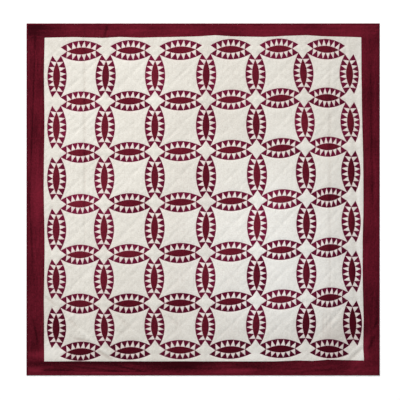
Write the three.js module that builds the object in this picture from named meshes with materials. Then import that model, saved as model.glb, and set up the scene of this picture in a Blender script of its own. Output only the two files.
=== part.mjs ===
// A square patchwork quilt, lying flat with its face up: a pieced field of interlocking rings, four border
// strips around it, and a narrow binding folded over each outer edge.
// +X runs across the quilt, +Y towards its head and +Z up. The origin is in the middle of the underside.
import * as THREE from "three";

// Driving dimensions, in millimetres.
const WIDTH = 1830; // edge to edge along X
const LENGTH = 1824; // edge to edge along Y
const BINDING_WIDTH = 9; // what shows of the folded edge strip
const GAP = 0.3; // between neighbouring pieces

// Heights of the face above the surface that the quilt lies on.
const STITCHED = 2.4; // on a line of quilting, which draws the layers together
const SEAM = 3.6; // on a seam between two patches
const LOW_PUFF = 5.0; // in the middle of a small patch
const PUFF = 6.2; // in the middle of a large patch

// The seams between the field and the borders. Each runs from left to right or from head to foot, straight
// from station to station, at an offset from the quilt's middle that hand sewing leaves uneven.
const SEAMS = {
  top: {
    from: 837,
    stations: [
      { at: -655, offset: 840 },
      { at: -518, offset: 836 },
      { at: -428, offset: 841 },
      { at: -328, offset: 837 },
      { at: -200, offset: 840 },
      { at: -20, offset: 844 },
      { at: 64, offset: 850 },
      { at: 150, offset: 844 },
      { at: 315, offset: 841 },
      { at: 415, offset: 846 },
      { at: 536, offset: 850 },
      { at: 614, offset: 845 },
    ],
    to: 839,
  },
  bottom: {
    from: -839,
    stations: [
      { at: 370, offset: -839 },
      { at: 490, offset: -834 },
      { at: 572, offset: -836 },
      { at: 645, offset: -830 },
    ],
    to: -834,
  },
  left: {
    from: -820,
    stations: [
      { at: 650, offset: -824 },
      { at: 460, offset: -821 },
      { at: 310, offset: -822 },
      { at: 70, offset: -825 },
      { at: -270, offset: -820 },
      { at: -520, offset: -824 },
    ],
    to: -822,
  },
  right: {
    from: 819,
    stations: [
      { at: 500, offset: 822 },
      { at: 250, offset: 828 },
      { at: 134, offset: 830 },
      { at: -84, offset: 830 },
      { at: -220, offset: 826 },
      { at: -450, offset: 827 },
      { at: -628, offset: 832 },
      { at: -765, offset: 829 },
    ],
    to: 833,
  },
};

// The ring pattern is laid out on crossings. Hand piecing leaves its columns and rows a little uneven: each
// column leans from head to foot and bows to the right, and each row rises from left to right and sags.
const COLUMNS = [
  { head: -758, foot: -761, bow: -1 },
  { head: -502, foot: -513, bow: -5 },
  { head: -248, foot: -255, bow: 0 },
  { head: 17, foot: 11, bow: 0 },
  { head: 270, foot: 275, bow: 6 },
  { head: 516, foot: 534, bow: 8 },
  { head: 757, foot: 776, bow: 1 },
];
const ROWS = [
  { left: 768, right: 778, sag: -3 },
  { left: 506, right: 530, sag: 4 },
  { left: 240, right: 277, sag: 6 },
  { left: -26, right: 14, sag: 6 },
  { left: -288, right: -244, sag: 9 },
  { left: -543, right: -506, sag: 8 },
  { left: -787, right: -776, sag: -4 },
];

// Crossings that hand piecing has put out of line, and how far.
const STRAYS = [
  { column: 0, row: 0, x: 0, y: -3 },
  { column: 2, row: 0, x: 0, y: -3 },
  { column: 5, row: 0, x: 0, y: 3 },
  { column: 6, row: 0, x: 0, y: -5 },
  { column: 5, row: 1, x: 0, y: 5 },
  { column: 6, row: 1, x: 0, y: -5 },
  { column: 5, row: 2, x: 0, y: 4 },
  { column: 6, row: 2, x: 3, y: -3 },
  { column: 2, row: 3, x: 2, y: 0 },
  { column: 3, row: 3, x: 3, y: 0 },
  { column: 4, row: 3, x: 3, y: 0 },
  { column: 5, row: 3, x: 3, y: 1 },
  { column: 0, row: 5, x: 0, y: 4 },
  { column: 3, row: 5, x: 0, y: -3 },
  { column: 4, row: 5, x: 0, y: 2 },
  { column: 5, row: 5, x: 0, y: 3 },
  { column: 6, row: 5, x: 0, y: 3 },
  { column: 0, row: 6, x: 0, y: -5 },
  { column: 1, row: 6, x: 6, y: -3 },
  { column: 2, row: 6, x: 6, y: 0 },
  { column: 3, row: 6, x: 0, y: -4 },
  { column: 4, row: 6, x: -3, y: 0 },
  { column: 5, row: 6, x: -3, y: 3 },
  { column: 6, row: 6, x: 2, y: -3 },
];

// A ring segment lies between two crossings: a pointed lens with an arc of wedges on either side of it.
const DIAMOND_REACH = 53.3; // from a crossing to each point of the square patch on it
const EDGE_REACH = 30; // and to a point that looks at the border
const ARC_CORNER = 21.7; // from a crossing to where two wedge arcs meet, along X and along Y
const LENS_RISE = 18.3; // from the segment's axis to the crown of the lens
const ARC_RISE = 30.5; // from the chord of a wedge arc to its crown
const EDGE_RISE = { top: 32, bottom: 25.5, left: 25.6, right: 26 }; // and of an arc that looks at the border
const LENS_WEDGES = 6; // wedges that stand on the edge of the lens, one fewer than stand on the outer arc
const WEDGE_END = 50.4; // from a crossing to the inner edge of the end wedge on the outer arc
const WEDGE_LEAN = 1.8; // how far the wedges lean along the arc

// A large patch between the rings is quilted from corner to corner, which leaves a puff on each of its sides.
const PUFF_SHARES = [0.32, 0.68]; // where a puff's crown points lie along the side
const PUFF_DEPTH = 0.4; // and how far from the side towards the middle of the patch
const CROSS_DEPTH = 0.45; // a point in each arm of the cross, from the corner towards the middle

// Soft ridges in the face, left by storage folds and by fullness in the cloth.
const RIDGES = [
  { name: "middle storage fold", x: 25, y: 0, angle: 90, reach: 900, width: 45, height: 1.4 },
  { name: "right storage fold", x: 648, y: 0, angle: 90, reach: 900, width: 55, height: 2.2 },
  { name: "fullness at the foot corner", x: 690, y: -690, angle: 45, reach: 110, width: 60, height: 3 },
];

// A border strip is quilted along one line, with a puff on either side that rises and falls on its way.
const BORDER_LINE = 31; // from the quilt's outer edge to the line of quilting
const BORDER_UNEVEN = 0.5; // how far the puffs rise and fall
const BORDER_WAVE = 310; // and the length of that wave

// The binding's section, from the quilt's outer edge inwards.
const BINDING_SECTION = [
  { inset: 0.8, height: 0 },
  { inset: 0, height: 2 },
  { inset: 0.8, height: 4.2 },
  { inset: 3.5, height: 5.2 },
  { inset: BINDING_WIDTH, height: 4.2 },
  { inset: BINDING_WIDTH, height: 0 },
];

const REST_INSET = 80; // from the field's edge to the plain middle of its underside
const SAME_POINT_DECIMALS = 3; // points that agree to this many decimals are one vertex

// Finishes.
const PIECED_COTTON = { color: 0xe4e0d6, roughness: 0.92, metalness: 0 };
const BORDER_COTTON = { color: 0x5f1a27, roughness: 0.88, metalness: 0 };
const BINDING_COTTON = { color: 0x571521, roughness: 0.86, metalness: 0 };

const { lerp, clamp, mapLinear, degToRad } = THREE.MathUtils;
const plan = (x, y) => new THREE.Vector2(x, y);
const EAST = plan(1, 0);
const NORTH = plan(0, 1);
const WEST = plan(-1, 0);
const SOUTH = plan(0, -1);
const LAST_COLUMN = COLUMNS.length - 1;
const LAST_ROW = ROWS.length - 1;

// The quilt's sides: which way each looks, which way it is followed, and the crossing that it starts from.
const SIDES = {
  top: { outward: NORTH, ahead: EAST, column: 0, row: 0 },
  bottom: { outward: SOUTH, ahead: EAST, column: 0, row: LAST_ROW },
  left: { outward: WEST, ahead: SOUTH, column: 0, row: 0 },
  right: { outward: EAST, ahead: SOUTH, column: LAST_COLUMN, row: 0 },
};

// How far the soft ridges lift the face at a point of the plan.
function ridgeLift(point) {
  let lift = 0;
  for (const ridge of RIDGES) {
    const turn = degToRad(ridge.angle);
    const away = plan(point.x - ridge.x, point.y - ridge.y).rotateAround(plan(0, 0), -turn);
    lift += ridge.height * Math.exp(-((away.y / ridge.width) ** 2) - (away.x / ridge.reach) ** 4);
  }
  return lift;
}

// A closed solid, put together from triangles that share their vertices.
class Solid {
  constructor() {
    this.points = [];
    this.triangles = [];
    this.numbers = new Map();
  }

  // The number of the vertex at a point. The same point always gives the same vertex.
  vertex(x, y, z) {
    const key = [x, y, z].map((value) => value.toFixed(SAME_POINT_DECIMALS)).join(" ");
    if (!this.numbers.has(key)) {
      this.numbers.set(key, this.points.length);
      this.points.push(new THREE.Vector3(x, y, z));
    }
    return this.numbers.get(key);
  }

  // The vertex of the quilted face over a point of the plan.
  onFace(point, height) {
    return this.vertex(point.x, point.y, height + ridgeLift(point));
  }

  // The vertex of the underside below a point of the plan.
  below(point) {
    return this.vertex(point.x, point.y, 0);
  }

  triangle(a, b, c) {
    if (a !== b && b !== c && c !== a) {
      this.triangles.push(a, b, c);
    }
  }

  // A triangle that is turned to look up, or down, whatever the order of its corners.
  flat(a, b, c, looksUp) {
    const [p, q, r] = [a, b, c].map((number) => this.points[number]);
    const turn = (q.x - p.x) * (r.y - p.y) - (q.y - p.y) * (r.x - p.x);
    if (turn > 0 === looksUp) {
      this.triangle(a, b, c);
    } else {
      this.triangle(a, c, b);
    }
  }

  // Fills the room between two lines of vertices, stepping along whichever line lags behind.
  bridge(lineA, lineB, looksUp = true) {
    const sharesA = this.lengthShares(lineA);
    const sharesB = this.lengthShares(lineB);
    const lastA = lineA.length - 1;
    const lastB = lineB.length - 1;
    let a = 0;
    let b = 0;
    while (a < lastA || b < lastB) {
      if (a === lastA || (b < lastB && sharesB[b + 1] <= sharesA[a + 1])) {
        this.flat(lineA[a], lineB[b], lineB[b + 1], looksUp);
        b += 1;
      } else {
        this.flat(lineA[a], lineB[b], lineA[a + 1], looksUp);
        a += 1;
      }
    }
  }

  // Fills the room between two lines of vertices that lie opposite each other.
  ladder(lineA, lineB) {
    for (let k = 1; k < lineA.length; k += 1) {
      this.flat(lineA[k - 1], lineB[k - 1], lineA[k], true);
      this.flat(lineA[k], lineB[k - 1], lineB[k], true);
    }
  }

  // How far along a line each of its vertices lies, from 0 to 1.
  lengthShares(line) {
    const lengths = [0];
    for (let k = 1; k < line.length; k += 1) {
      lengths.push(lengths[k - 1] + this.points[line[k]].distanceTo(this.points[line[k - 1]]));
    }
    return lengths.map((length) => length / lengths.at(-1));
  }

  // Skins a row of sections with equal numbers of vertices, and closes both ends.
  loft(sections) {
    const count = sections[0].length;
    for (let s = 1; s < sections.length; s += 1) {
      for (let k = 0; k < count; k += 1) {
        const next = (k + 1) % count;
        this.triangle(sections[s - 1][k], sections[s - 1][next], sections[s][next]);
        this.triangle(sections[s - 1][k], sections[s][next], sections[s][k]);
      }
    }
    const [first, last] = [sections[0], sections.at(-1)];
    for (let k = 2; k < count; k += 1) {
      this.triangle(first[0], first[k], first[k - 1]);
      this.triangle(last[0], last[k - 1], last[k]);
    }
  }

  signedVolume() {
    let volume = 0;
    for (let k = 0; k < this.triangles.length; k += 3) {
      const [p, q, r] = this.triangles.slice(k, k + 3).map((number) => this.points[number]);
      volume += p.dot(q.clone().cross(r)) / 6;
    }
    return volume;
  }

  // The finished geometry, with its faces looking outwards.
  geometry() {
    const order = this.signedVolume() < 0 ? this.triangles.toReversed() : this.triangles;
    const positions = this.points.flatMap((point) => point.toArray());
    const geometry = new THREE.BufferGeometry();
    geometry.setAttribute("position", new THREE.Float32BufferAttribute(positions, 3));
    geometry.setIndex(order);
    geometry.computeVertexNormals();
    return geometry;
  }
}

function piece(name, solid, finish) {
  const mesh = new THREE.Mesh(solid.geometry(), new THREE.MeshStandardMaterial(finish));
  mesh.name = name;
  return mesh;
}

// The height of a shallow bow at a share of its length: nothing at both ends, and its full rise halfway.
function bowHeight(rise, share) {
  return 4 * rise * share * (1 - share);
}

// The place where a column and a row of the ring pattern cross.
function crossing(column, row) {
  const { head, foot, bow } = COLUMNS[column];
  const { left, right, sag } = ROWS[row];
  const { x, y } = STRAYS.find((stray) => stray.column === column && stray.row === row) ?? { x: 0, y: 0 };
  const down = row / LAST_ROW;
  const across = column / LAST_COLUMN;
  return plan(
    lerp(head, foot, down) + bowHeight(bow, down) + x,
    lerp(left, right, across) - bowHeight(sag, across) + y,
  );
}

// A point on the bowed edge from start to end. A positive rise bows it to the left.
function onBow(start, end, rise, share) {
  const left = plan(start.y - end.y, end.x - start.x).normalize();
  return start.clone().lerp(end, share).addScaledVector(left, bowHeight(rise, share));
}

// The shares of an arc's chord where its wedges meet. They lean ahead on a segment's left, back on its right.
function wedgeShares(chord, side) {
  const first = (WEDGE_END + side * WEDGE_LEAN - ARC_CORNER) / chord;
  const last = 1 - (WEDGE_END - side * WEDGE_LEAN - ARC_CORNER) / chord;
  const meets = Array.from({ length: LENS_WEDGES }, (_, k) => lerp(first, last, k / (LENS_WEDGES - 1)));
  return [0, ...meets, 1];
}

// Whether a crossing has no other beside it one way, because the border is there.
function looksOut(column, row, way) {
  const [nextColumn, nextRow] = [column + way.x, row - way.y];
  return clamp(nextColumn, 0, LAST_COLUMN) !== nextColumn || clamp(nextRow, 0, LAST_ROW) !== nextRow;
}

// The rise of the wedge arc that looks one way from a segment at a crossing.
function arcRise(column, row, way) {
  const side = Object.keys(SIDES).find((name) => SIDES[name].outward.equals(way));
  return looksOut(column, row, way) ? EDGE_RISE[side] : ARC_RISE;
}

// A ring segment in plan, from a crossing to the next one ahead: the spine of its lens, and on its left and
// right the lens edge and the outer arc.
function ringSegment(column, row, ahead) {
  const left = plan(-ahead.y, ahead.x);
  const here = crossing(column, row);
  const next = crossing(column + ahead.x, row - ahead.y);
  const start = here.clone().addScaledVector(ahead, DIAMOND_REACH);
  const end = next.clone().addScaledVector(ahead, -DIAMOND_REACH);
  const lensShares = Array.from({ length: LENS_WEDGES + 1 }, (_, k) => k / LENS_WEDGES);
  const half = (side) => {
    const arcStart = here.clone().addScaledVector(ahead, ARC_CORNER).addScaledVector(left, side * ARC_CORNER);
    const arcEnd = next.clone().addScaledVector(ahead, -ARC_CORNER).addScaledVector(left, side * ARC_CORNER);
    const shares = wedgeShares(arcStart.distanceTo(arcEnd), side);
    const rise = arcRise(column, row, left.clone().multiplyScalar(side));
    return {
      lens: lensShares.map((share) => onBow(start, end, side * LENS_RISE, share)),
      arc: shares.map((share) => onBow(arcStart, arcEnd, side * rise, share)),
    };
  };
  const spine = lensShares.map((share) => start.clone().lerp(end, share));
  return { spine, left: half(1), right: half(-1) };
}

// A lens with its spine raised, and the wedges in the arcs on either side of it.
function addRingSegment(field, column, row, ahead) {
  const segment = ringSegment(column, row, ahead);
  const tips = [0, LENS_WEDGES];
  const spine = segment.spine.map((point, k) => field.onFace(point, tips.includes(k) ? SEAM : LOW_PUFF));
  for (const side of [segment.left, segment.right]) {
    const lens = side.lens.map((point) => field.onFace(point, SEAM));
    const arc = side.arc.map((point) => field.onFace(point, SEAM));
    field.bridge(arc, lens);
    field.bridge(spine, lens);
  }
}

function addRingSegments(field) {
  for (let row = 0; row <= LAST_ROW; row += 1) {
    for (let column = 0; column < LAST_COLUMN; column += 1) {
      addRingSegment(field, column, row, EAST);
    }
  }
  for (let row = 0; row < LAST_ROW; row += 1) {
    for (let column = 0; column <= LAST_COLUMN; column += 1) {
      addRingSegment(field, column, row, SOUTH);
    }
  }
}

// The point of the square patch on a crossing that looks one way, cut short where that is at the border.
function diamondPoint(column, row, way) {
  return crossing(column, row).addScaledVector(way, looksOut(column, row, way) ? EDGE_REACH : DIAMOND_REACH);
}

// The outline of the square patch on a crossing: its four points, and between them where the arcs meet.
function diamondOutline(column, row) {
  const ways = [EAST, NORTH, WEST, SOUTH];
  return ways.flatMap((way, k) => {
    const next = ways[(k + 1) % ways.length];
    const corner = crossing(column, row).addScaledVector(way, ARC_CORNER).addScaledVector(next, ARC_CORNER);
    return [diamondPoint(column, row, way), corner];
  });
}

// The small square patches on the crossings, each raised in the middle.
function addDiamonds(field) {
  for (let row = 0; row <= LAST_ROW; row += 1) {
    for (let column = 0; column <= LAST_COLUMN; column += 1) {
      const middle = field.onFace(crossing(column, row), LOW_PUFF);
      const rim = diamondOutline(column, row).map((point) => field.onFace(point, SEAM));
      rim.forEach((vertex, k) => field.flat(vertex, rim[(k + 1) % rim.length], middle, true));
    }
  }
}

// A large patch with four hollow sides, quilted from corner to corner.
function addLargePatch(field, column, row) {
  const sides = [
    ringSegment(column, row, EAST).right.arc,
    ringSegment(column + 1, row, SOUTH).right.arc,
    ringSegment(column, row + 1, EAST).left.arc.toReversed(),
    ringSegment(column, row, SOUTH).left.arc.toReversed(),
  ];
  const middle = plan(0, 0);
  for (const side of sides) {
    middle.addScaledVector(side[0], 1 / sides.length);
  }
  const centre = field.onFace(middle, STITCHED);
  for (const side of sides) {
    const crossArm = (corner) => field.onFace(corner.clone().lerp(middle, CROSS_DEPTH), STITCHED);
    const crowns = PUFF_SHARES.map((share) => {
      const onSide = onBow(side[0], side.at(-1), -ARC_RISE, share);
      return field.onFace(onSide.lerp(middle, PUFF_DEPTH), PUFF);
    });
    const crest = [crossArm(side[0]), ...crowns, crossArm(side.at(-1))];
    field.bridge(side.map((point) => field.onFace(point, SEAM)), crest);
    field.bridge(crest, [centre]);
  }
}

function addLargePatches(field) {
  for (let row = 0; row < LAST_ROW; row += 1) {
    for (let column = 0; column < LAST_COLUMN; column += 1) {
      addLargePatch(field, column, row);
    }
  }
}

// Where a seam starts and ends along the axis that it follows, which is where it meets its neighbours.
function seamSpan(side) {
  const { top, bottom, left, right } = SEAMS;
  const spans = {
    top: [left.from, right.from],
    bottom: [left.to, right.to],
    left: [top.from, bottom.from],
    right: [top.to, bottom.to],
  };
  return spans[side];
}

// A seam's offset from the quilt's middle at a place along it. Beyond its ends it runs on straight.
function seamOffset(side, place) {
  const { from, stations, to } = SEAMS[side];
  const [start, end] = seamSpan(side);
  const known = [{ at: start, offset: from }, ...stations, { at: end, offset: to }];
  const onSeam = clamp(place, Math.min(start, end), Math.max(start, end));
  const next = known.findIndex(({ at }, k) => k > 0 && Math.abs(at - start) >= Math.abs(onSeam - start));
  const [before, after] = known.slice(next - 1, next + 1);
  return mapLinear(onSeam, before.at, after.at, before.offset, after.offset);
}

// A point of the plan at a place along a side and an offset from the quilt's middle.
function besideSide(side, place, offset) {
  return SIDES[side].ahead === EAST ? plan(place, offset) : plan(offset, place);
}

// The outline of the rings along one side of the field, from corner to corner.
function ringOutline(side) {
  const { outward, ahead, column, row } = SIDES[side];
  const onLeft = plan(-ahead.y, ahead.x).dot(outward) > 0;
  const outline = [];
  for (let k = 0; k <= LAST_ROW; k += 1) {
    const place = [column + ahead.x * k, row - ahead.y * k];
    const corner = (way) =>
      crossing(...place).addScaledVector(outward, ARC_CORNER).addScaledVector(ahead, way * ARC_CORNER);
    outline.push(corner(-1), diamondPoint(...place, outward), corner(1));
    if (k < LAST_ROW) {
      const segment = ringSegment(...place, ahead);
      outline.push(...(onLeft ? segment.left : segment.right).arc.slice(1, -1));
    }
  }
  return outline;
}

// The places along a seam that lie opposite the points of the rings, with the first and last at its ends.
function seamPlaces(side) {
  const places = ringOutline(side).map((point) => (SIDES[side].ahead === EAST ? point.x : point.y));
  [places[0], places[places.length - 1]] = seamSpan(side);
  return places;
}

// The ground between the rings and the borders, the walls below its edge, and the underside.
function addGround(field) {
  const rest = {
    topLeft: field.below(plan(SEAMS.left.from + REST_INSET, SEAMS.top.from - REST_INSET)),
    topRight: field.below(plan(SEAMS.right.from - REST_INSET, SEAMS.top.to - REST_INSET)),
    bottomLeft: field.below(plan(SEAMS.left.to + REST_INSET, SEAMS.bottom.from + REST_INSET)),
    bottomRight: field.below(plan(SEAMS.right.to - REST_INSET, SEAMS.bottom.to + REST_INSET)),
  };
  const restSides = {
    top: [rest.topLeft, rest.topRight],
    bottom: [rest.bottomLeft, rest.bottomRight],
    left: [rest.topLeft, rest.bottomLeft],
    right: [rest.topRight, rest.bottomRight],
  };
  for (const side of Object.keys(SIDES)) {
    const rim = seamPlaces(side).map((place) => besideSide(side, place, seamOffset(side, place)));
    const upper = rim.map((point) => field.onFace(point, SEAM));
    const lower = rim.map((point) => field.below(point));
    field.ladder(ringOutline(side).map((point) => field.onFace(point, SEAM)), upper);
    field.bridge(lower, restSides[side], false);
    addWall(field, upper, lower, side === "top" || side === "right");
  }
  field.bridge(restSides.top, restSides.bottom, false);
}

// The wall between a line of the face's edge and the line below it.
function addWall(field, upper, lower, outwardOnLeft) {
  for (let k = 1; k < upper.length; k += 1) {
    const [a, b] = outwardOnLeft ? [k, k - 1] : [k - 1, k];
    field.triangle(lower[a], lower[b], upper[b]);
    field.triangle(lower[a], upper[b], upper[a]);
  }
}

function piecedField() {
  const field = new Solid();
  addRingSegments(field);
  addDiamonds(field);
  addLargePatches(field);
  addGround(field);
  return piece("pieced_field", field, PIECED_COTTON);
}

// How far the quilt reaches from its middle to a side.
function reach(side) {
  return (SIDES[side].ahead === EAST ? LENGTH : WIDTH) / 2;
}

// Whether a side looks along an axis or against it.
function signOf(side) {
  const { outward } = SIDES[side];
  return Math.sign(outward.x + outward.y);
}

// Where a border strip has its sections: all along its seam. The head and foot strips run the full width,
// with the side strips between them, so they have a section at each end too.
function stripPlaces(side) {
  const places = seamPlaces(side);
  const end = WIDTH / 2 - BINDING_WIDTH - GAP;
  return SIDES[side].ahead === EAST ? [-end, ...places, end] : places;
}

function borderStrip(side) {
  const strip = new Solid();
  const sign = signOf(side);
  const outer = sign * (reach(side) - BINDING_WIDTH - GAP);
  const line = sign * (reach(side) - BORDER_LINE);
  const sections = stripPlaces(side).map((place) => {
    const inner = seamOffset(side, place) + sign * GAP;
    const uneven = BORDER_UNEVEN * Math.sin((2 * Math.PI * place) / BORDER_WAVE);
    const profile = [
      { offset: outer, height: SEAM },
      { offset: (outer + line) / 2, height: LOW_PUFF + uneven },
      { offset: line, height: STITCHED },
      { offset: (line + inner) / 2, height: PUFF - uneven },
      { offset: inner, height: SEAM },
    ];
    const face = profile.map(({ offset, height }) => strip.onFace(besideSide(side, place, offset), height));
    const foot = (offset) => strip.below(besideSide(side, place, offset));
    return [foot(outer), ...face, foot(inner)];
  });
  strip.loft(sections);
  return piece(`border_${side}`, strip, BORDER_COTTON);
}

// A binding strip, mitred at both ends.
function bindingStrip(side) {
  const strip = new Solid();
  const halfLength = (SIDES[side].ahead === EAST ? WIDTH : LENGTH) / 2;
  const sections = [-1, 1].map((end) => BINDING_SECTION.map(({ inset, height }) => {
    const point = besideSide(side, end * (halfLength - inset - GAP), signOf(side) * (reach(side) - inset));
    return strip.vertex(point.x, point.y, height);
  }));
  strip.loft(sections);
  return piece(`binding_${side}`, strip, BINDING_COTTON);
}

const quilt = new THREE.Group();
quilt.add(piecedField());
for (const side of Object.keys(SIDES)) {
  quilt.add(borderStrip(side), bindingStrip(side));
}

export default quilt;
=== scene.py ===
import math
from collections import namedtuple

import bpy
import numpy as np
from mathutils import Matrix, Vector
from mathutils.geometry import delaunay_2d_cdt
from mathutils.kdtree import KDTree


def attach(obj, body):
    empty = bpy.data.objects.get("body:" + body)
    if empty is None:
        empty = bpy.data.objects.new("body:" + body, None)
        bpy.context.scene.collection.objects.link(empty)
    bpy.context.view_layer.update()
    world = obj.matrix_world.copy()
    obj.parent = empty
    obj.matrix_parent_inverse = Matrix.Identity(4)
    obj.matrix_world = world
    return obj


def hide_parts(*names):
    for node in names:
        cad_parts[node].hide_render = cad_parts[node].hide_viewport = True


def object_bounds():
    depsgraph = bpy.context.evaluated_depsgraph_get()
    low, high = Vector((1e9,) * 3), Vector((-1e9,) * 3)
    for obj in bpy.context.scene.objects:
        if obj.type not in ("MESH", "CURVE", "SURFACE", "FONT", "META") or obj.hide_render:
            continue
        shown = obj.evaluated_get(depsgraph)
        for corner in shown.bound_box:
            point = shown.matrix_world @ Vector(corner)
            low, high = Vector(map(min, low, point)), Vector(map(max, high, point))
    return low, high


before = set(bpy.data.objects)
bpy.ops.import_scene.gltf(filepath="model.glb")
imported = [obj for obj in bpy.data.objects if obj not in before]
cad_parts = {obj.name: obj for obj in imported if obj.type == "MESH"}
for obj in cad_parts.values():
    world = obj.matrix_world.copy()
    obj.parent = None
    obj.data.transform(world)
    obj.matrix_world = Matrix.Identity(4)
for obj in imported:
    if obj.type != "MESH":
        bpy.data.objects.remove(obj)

CAD_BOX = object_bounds()
EAST, NORTH, WEST, SOUTH = 1 + 0j, 1j, -1 + 0j, -1j

# Driving dimensions, in metres.
HALF_WIDTH = CAD_BOX[1].x
HALF_LENGTH = CAD_BOX[1].y
BINDING_WIDTH = 0.009  # what shows of the folded edge strip
ALLOWANCE, TUCKED = 0.003, 0.0012  # how far a strip's edges reach under their neighbours, and how high

# The seams between the field and the borders. Each runs from left to right or from head to foot, straight
# from place to place, at an offset from the quilt's middle that hand sewing leaves uneven.
SEAMS = {
    "top": dict(
        start=0.837,
        places=(-0.655, -0.518, -0.428, -0.328, -0.200, -0.020, 0.064, 0.150, 0.315, 0.415, 0.536, 0.614),
        offsets=(0.840, 0.836, 0.841, 0.837, 0.840, 0.844, 0.850, 0.844, 0.841, 0.846, 0.850, 0.845),
        end=0.839,
    ),
    "bottom": dict(
        start=-0.839,
        places=(0.370, 0.490, 0.572, 0.645),
        offsets=(-0.839, -0.834, -0.836, -0.830),
        end=-0.834,
    ),
    "left": dict(
        start=-0.820,
        places=(0.650, 0.460, 0.310, 0.070, -0.270, -0.520),
        offsets=(-0.824, -0.821, -0.822, -0.825, -0.820, -0.824),
        end=-0.822,
    ),
    "right": dict(
        start=0.819,
        places=(0.500, 0.250, 0.134, -0.084, -0.220, -0.450, -0.628, -0.765),
        offsets=(0.822, 0.828, 0.830, 0.830, 0.826, 0.827, 0.832, 0.829),
        end=0.833,
    ),
}

# The columns and rows of the ring pattern. Each leans from its start, at the head or the left, to its end,
# and bows to the right or towards the head.
Lean = namedtuple("Lean", "start end bow")
COLUMNS = (
    Lean(-0.758, -0.761, -0.001),
    Lean(-0.502, -0.513, -0.005),
    Lean(-0.248, -0.255, 0.0),
    Lean(0.017, 0.011, 0.0),
    Lean(0.270, 0.275, 0.006),
    Lean(0.516, 0.534, 0.008),
    Lean(0.757, 0.776, 0.001),
)
ROWS = (
    Lean(0.768, 0.778, 0.003),
    Lean(0.506, 0.530, -0.004),
    Lean(0.240, 0.277, -0.006),
    Lean(-0.026, 0.014, -0.006),
    Lean(-0.288, -0.244, -0.009),
    Lean(-0.543, -0.506, -0.008),
    Lean(-0.787, -0.776, 0.004),
)
LAST = len(ROWS) - 1

# Crossings that hand piecing has put out of line, by column and row, and how far.
STRAYS = {
    (0, 0): -0.003j, (2, 0): -0.003j, (5, 0): 0.003j, (6, 0): -0.005j,
    (5, 1): 0.005j, (6, 1): -0.005j,
    (5, 2): 0.004j, (6, 2): 0.003 - 0.003j,
    (2, 3): 0.002, (3, 3): 0.003, (4, 3): 0.003, (5, 3): 0.003 + 0.001j,
    (0, 5): 0.004j, (3, 5): -0.003j, (4, 5): 0.002j, (5, 5): 0.003j, (6, 5): 0.003j,
    (0, 6): -0.005j, (1, 6): 0.006 - 0.003j, (2, 6): 0.006, (3, 6): -0.004j, (4, 6): -0.003,
    (5, 6): -0.003 + 0.003j, (6, 6): 0.002 - 0.003j,
}

# A ring segment lies between two crossings: a pointed lens with an arc of wedges on either side of it.
DIAMOND_REACH = 0.0533  # from a crossing to each point of the square patch on it
EDGE_REACH = 0.030  # and to a point that looks at the border
ARC_CORNER = 0.0217  # from a crossing to where two wedge arcs meet, along X and along Y
LENS_RISE = 0.0183  # from the segment's axis to the crown of the lens
ARC_RISE = 0.0305  # from the chord of a wedge arc to its crown
EDGE_RISE = {NORTH: 0.032, SOUTH: 0.0255, WEST: 0.0256, EAST: 0.026}  # and of an arc that looks at the border
LENS_WEDGES = 6  # pale wedges that stand on the edge of the lens
WEDGE_END = 0.0504  # from a crossing to the far side of the end wedge, on the arc
WEDGE_LEAN = 0.0018  # how far the wedges lean along the arc
LENS_GAP = 0.0006  # from a diamond's point to the tip of the lens
PEAK_GAP = 0.0020  # from the tip of a pale wedge to the outer arc
TIP_WIDTH = 0.0015  # of a red wedge's tip, on the lens

# The face's height above the surface that the quilt lies on, and how softly it rises from its low lines.
STITCHED = 0.0024  # where quilting draws the layers together
THINNEST = 0.0015  # in the deepest crease
SEAM_RISE, SEAM_SOFT = 0.0008, 0.004  # away from the seam round a red patch, or from the binding
PUFF_RISE, PUFF_SOFT = 0.0032, 0.019  # away from the lines of quilting
ARC_DRAWN, RIM_DRAWN, BOUND_DRAWN = 0.5, 0.15, 0.45  # how far an arc, a seam and the binding flatten it
ARM_DRAWN, ARM_SOFT = (0.45, 0.80), 0.012  # and the cross on a large patch, from the slackest to the tightest

# Quilting gathers the cloth into small puckers across the line.
PUCKER_HEIGHT, PUCKER_LENGTH, PUCKER_REACH = 0.0003, 0.023, 0.026

# Soft unevenness over the whole quilt: waves of a length and a height, whose crests run at an angle, give or
# take a spread. The first three rows lie in all directions, and the others run down the quilt and slanting.
CRUMPLES = (
    (0.300, 0.0006, 0, 180),
    (0.080, 0.0002, 0, 180),
    (0.032, 0.00012, 0, 180),
    (0.026, 0.00017, 90, 10),
    (0.030, 0.00016, 45, 14),
)
CRUMPLE_WAVES = 24  # waves in each row
CRUMPLE_SPREAD = 0.35  # how far their lengths differ

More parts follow.
